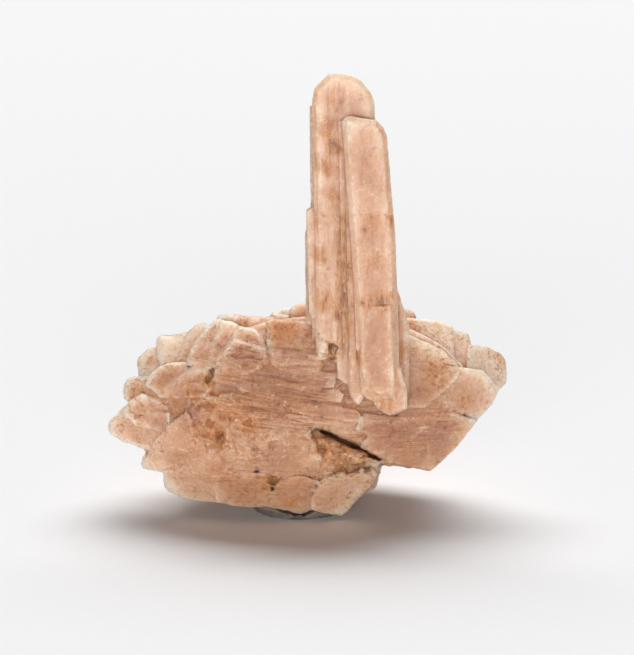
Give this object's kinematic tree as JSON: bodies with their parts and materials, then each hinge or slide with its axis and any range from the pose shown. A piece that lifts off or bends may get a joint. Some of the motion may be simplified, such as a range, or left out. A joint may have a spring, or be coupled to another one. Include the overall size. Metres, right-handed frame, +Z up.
{
  "type": "schizolite mineral specimen",
  "caption": "Pale pink schizolite: a sheaf of flat crystals grown together, with a group of upright prisms rising from its front, standing on a pad of putty",
  "frame": {"origin": "on the surface that the specimen stands on, under the middle of its bounding box", "axes": "+Z up, along the upright prisms; +X to the right as the specimen faces the viewer; +Y to the back"},
  "size_m": [0.0399, 0.0233, 0.046],
  "materials": {
    "schizolite": "translucent pale pink to brownish pink crystal, vitreous on its faces, finely striated, with ochre stains",
    "putty": "soft grey-brown mineral putty, matt, pressed flat"
  },
  "bodies": {
    "root": {"schizolite_crystals": "schizolite", "putty_pad": "putty"}
  },
  "joints": []
}
